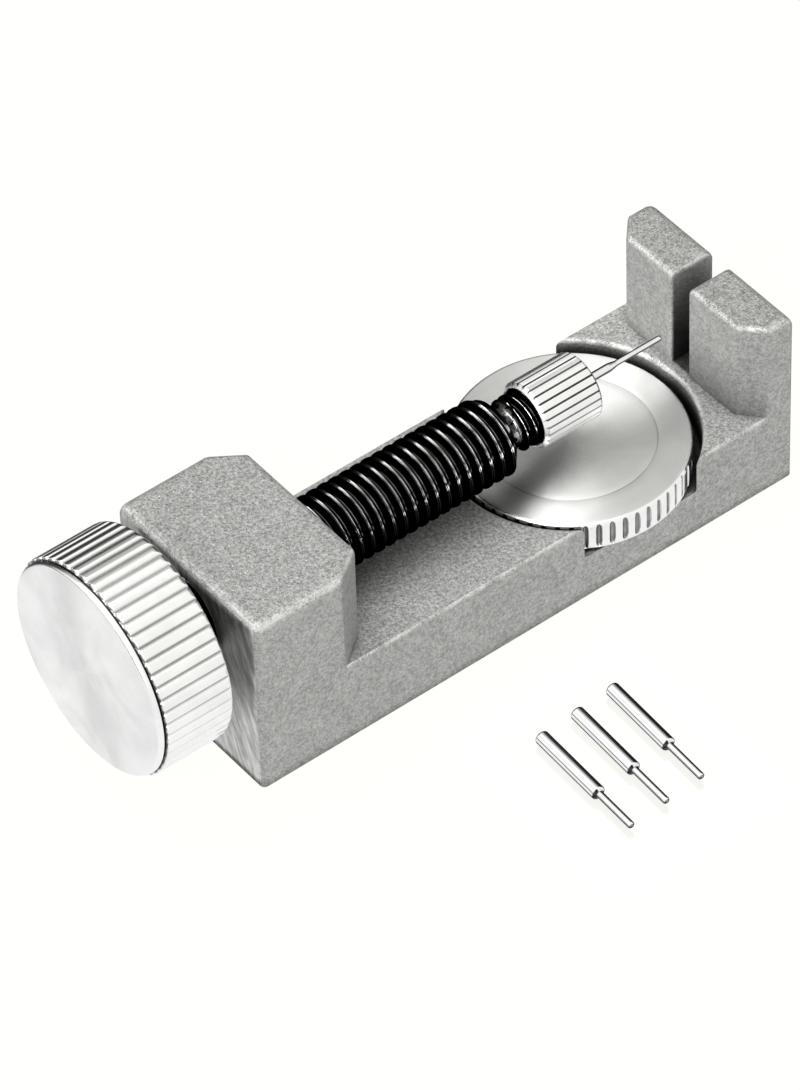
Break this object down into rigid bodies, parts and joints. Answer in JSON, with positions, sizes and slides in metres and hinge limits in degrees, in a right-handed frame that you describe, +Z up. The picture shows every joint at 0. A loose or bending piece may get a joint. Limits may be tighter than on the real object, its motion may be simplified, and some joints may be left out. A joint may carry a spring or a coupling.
{
  "type": "watch band link remover",
  "caption": "Screw-driven watch band link remover: a knurled knob turns a screw that pushes a thin drive pin over a height disc towards slotted posts, with loose spare pins.",
  "frame": {"origin": "centre of the casting's flat underside", "axes": "+X from the knob towards the slotted posts, along the drive screw; +Z up from the underside; +Y to the left seen from the knob"},
  "size_m": [0.0735, 0.0465, 0.0258],
  "materials": {
    "cast_body": "matte",
    "bright_aluminium": "satin",
    "black_oxide": "gloss",
    "polished_steel": "polished",
    "stud_steel": "satin"
  },
  "bodies": {
    "casting": {"body_casting": "cast_body"},
    "pin": {"drive_pin": "polished_steel"},
    "screw": {"drive_screw": "black_oxide", "drive_knob": "bright_aluminium"},
    "holder": {"tip_holder": "bright_aluminium"},
    "stud": {"height_stud": "stud_steel"},
    "disc": {"height_disc": "bright_aluminium"},
    "spare_1": {"spare_pin_1": "polished_steel"},
    "spare_2": {"spare_pin_2": "polished_steel"},
    "spare_3": {"spare_pin_3": "polished_steel"}
  },
  "joints": [
    {"name": "screw_feed", "type": "slide", "parent": "casting", "child": "pin", "axis": [1, 0, 0], "range_m": [-0.02505, 0.00255]},
    {"name": "screw_turn", "type": "hinge", "parent": "pin", "child": "screw", "pos_m": [0, 0, 0.01485], "axis": [1, 0, 0], "range_deg": [-7200, 720]},
    {"name": "holder_off", "type": "slide", "parent": "screw", "child": "holder", "axis": [1, 0, 0], "range_m": [0, 0.006]},
    {"name": "disc_lift", "type": "slide", "parent": "casting", "child": "stud", "axis": [0, 0, 1], "range_m": [-0.00021, 0.00161]},
    {"name": "disc_turn", "type": "hinge", "parent": "stud", "child": "disc", "pos_m": [0.01285, 0, 0.0087], "axis": [0, 0, 1], "range_deg": [-90, 720]},
    {"name": "spare_lift_1", "type": "slide", "parent": "casting", "child": "spare_1", "axis": [0, 0, 1], "range_m": [0, 0.03]},
    {"name": "spare_lift_2", "type": "slide", "parent": "casting", "child": "spare_2", "axis": [0, 0, 1], "range_m": [0, 0.03]},
    {"name": "spare_lift_3", "type": "slide", "parent": "casting", "child": "spare_3", "axis": [0, 0, 1], "range_m": [0, 0.03]}
  ],
  "couplings": [
    {"joint": "screw_feed", "follows": "screw_turn", "m_per_rad": 0.00019894},
    {"joint": "disc_lift", "follows": "disc_turn", "m_per_rad": 0.00012732}
  ]
}
